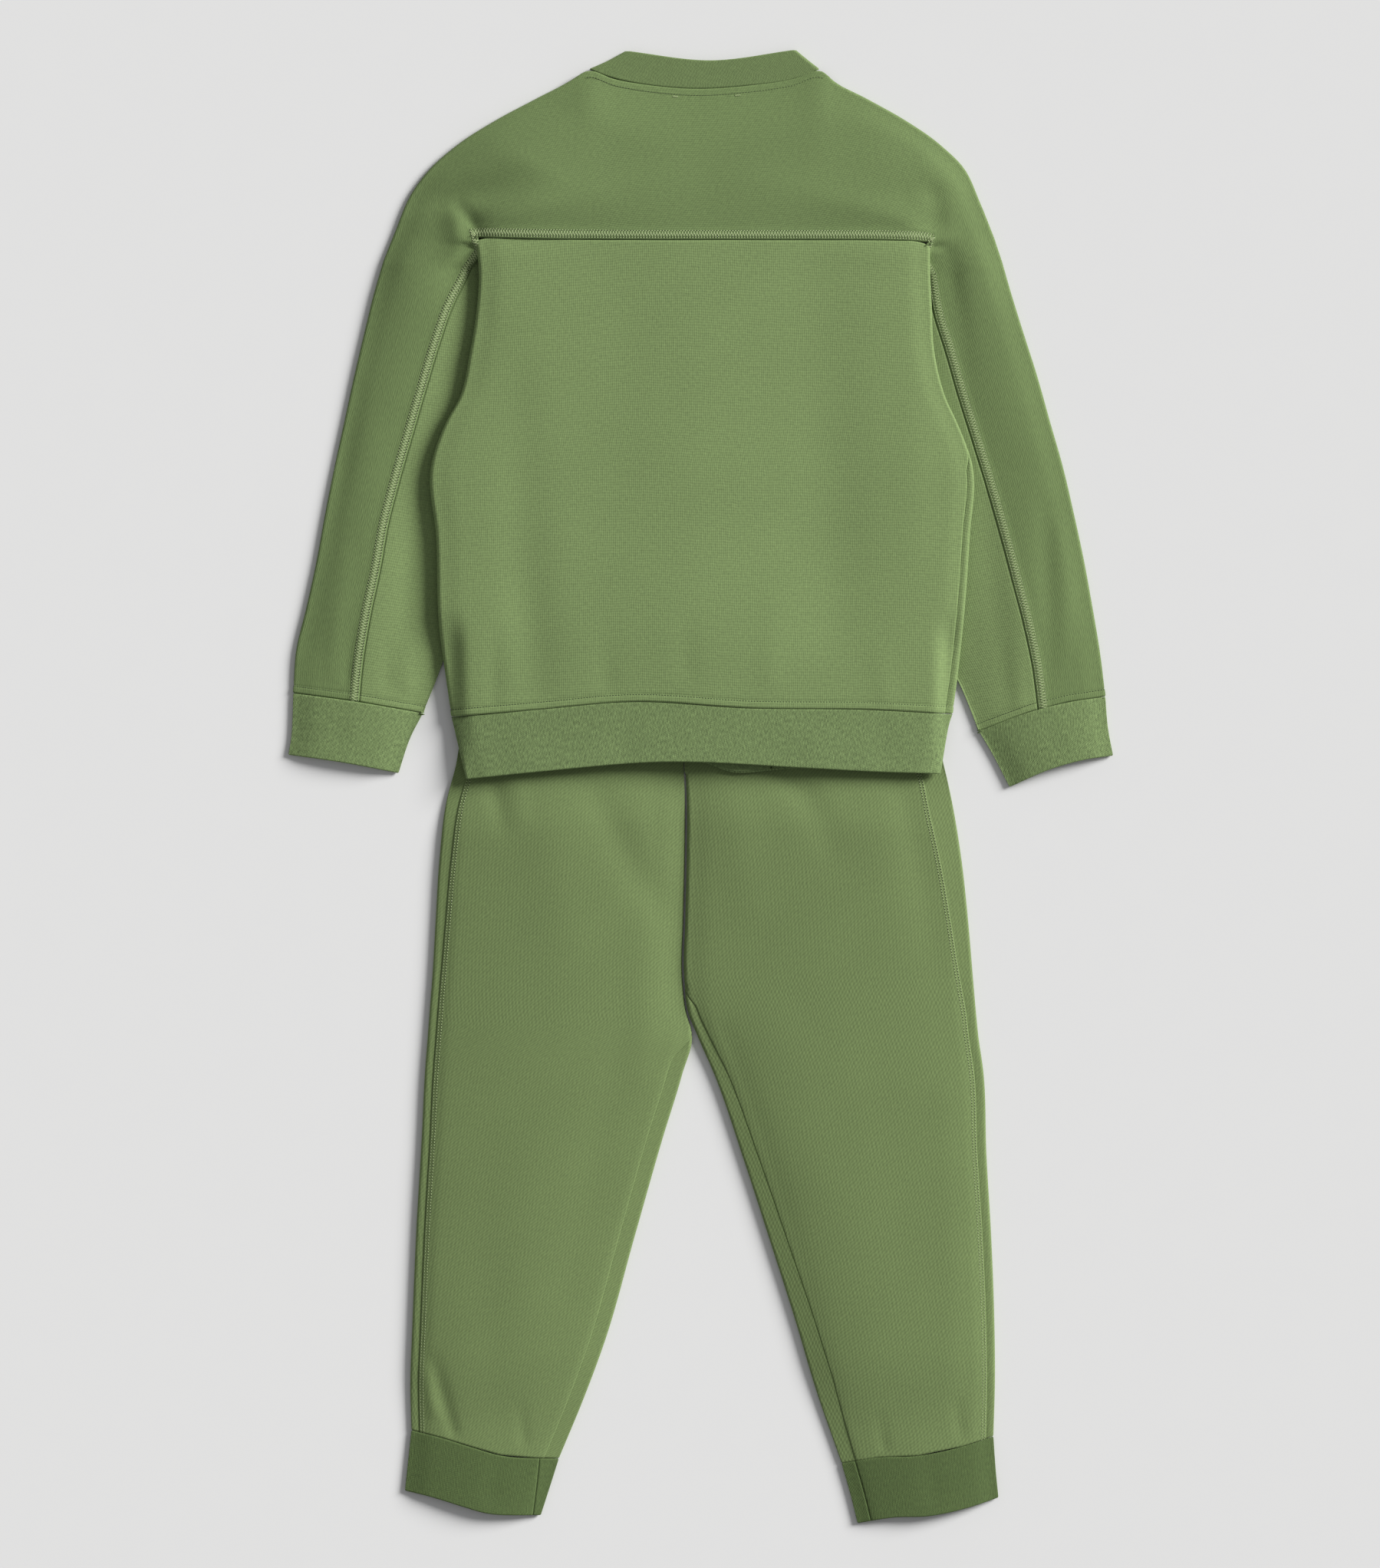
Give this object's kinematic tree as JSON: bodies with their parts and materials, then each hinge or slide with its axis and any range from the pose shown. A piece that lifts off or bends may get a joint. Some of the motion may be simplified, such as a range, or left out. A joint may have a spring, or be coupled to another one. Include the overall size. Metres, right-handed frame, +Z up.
{
  "type": "two-piece sweat suit laid flat",
  "caption": "Knitted sweatshirt with a funnel collar and matching joggers, laid flat back side up, the sweatshirt's hem over the joggers' waist.",
  "frame": {"origin": "centre of the outfit's bounding box, on the surface that it lies on", "axes": "+Y towards the collar, +X to the right as seen from above, +Z up from the surface"},
  "size_m": [0.688, 1.2291, 0.0163],
  "materials": {
    "yoke_knit": "matt double knit",
    "body_knit": "matt double knit",
    "leg_knit": "matt double knit",
    "band_knit": "matt double knit"
  },
  "bodies": {
    "root": {"ankle_cuff_left": "band_knit", "ankle_cuff_right": "band_knit", "back_leg_left": "leg_knit", "back_leg_right": "leg_knit", "back_lower": "body_knit", "back_yoke": "yoke_knit", "collar": "yoke_knit", "cuff_left": "band_knit", "cuff_right": "band_knit", "front_leg_left": "leg_knit", "front_leg_right": "leg_knit", "front_lower": "body_knit", "front_yoke": "yoke_knit", "hem_band": "band_knit", "under_sleeve_left": "body_knit", "under_sleeve_right": "body_knit", "waistband": "band_knit"}
  },
  "joints": []
}
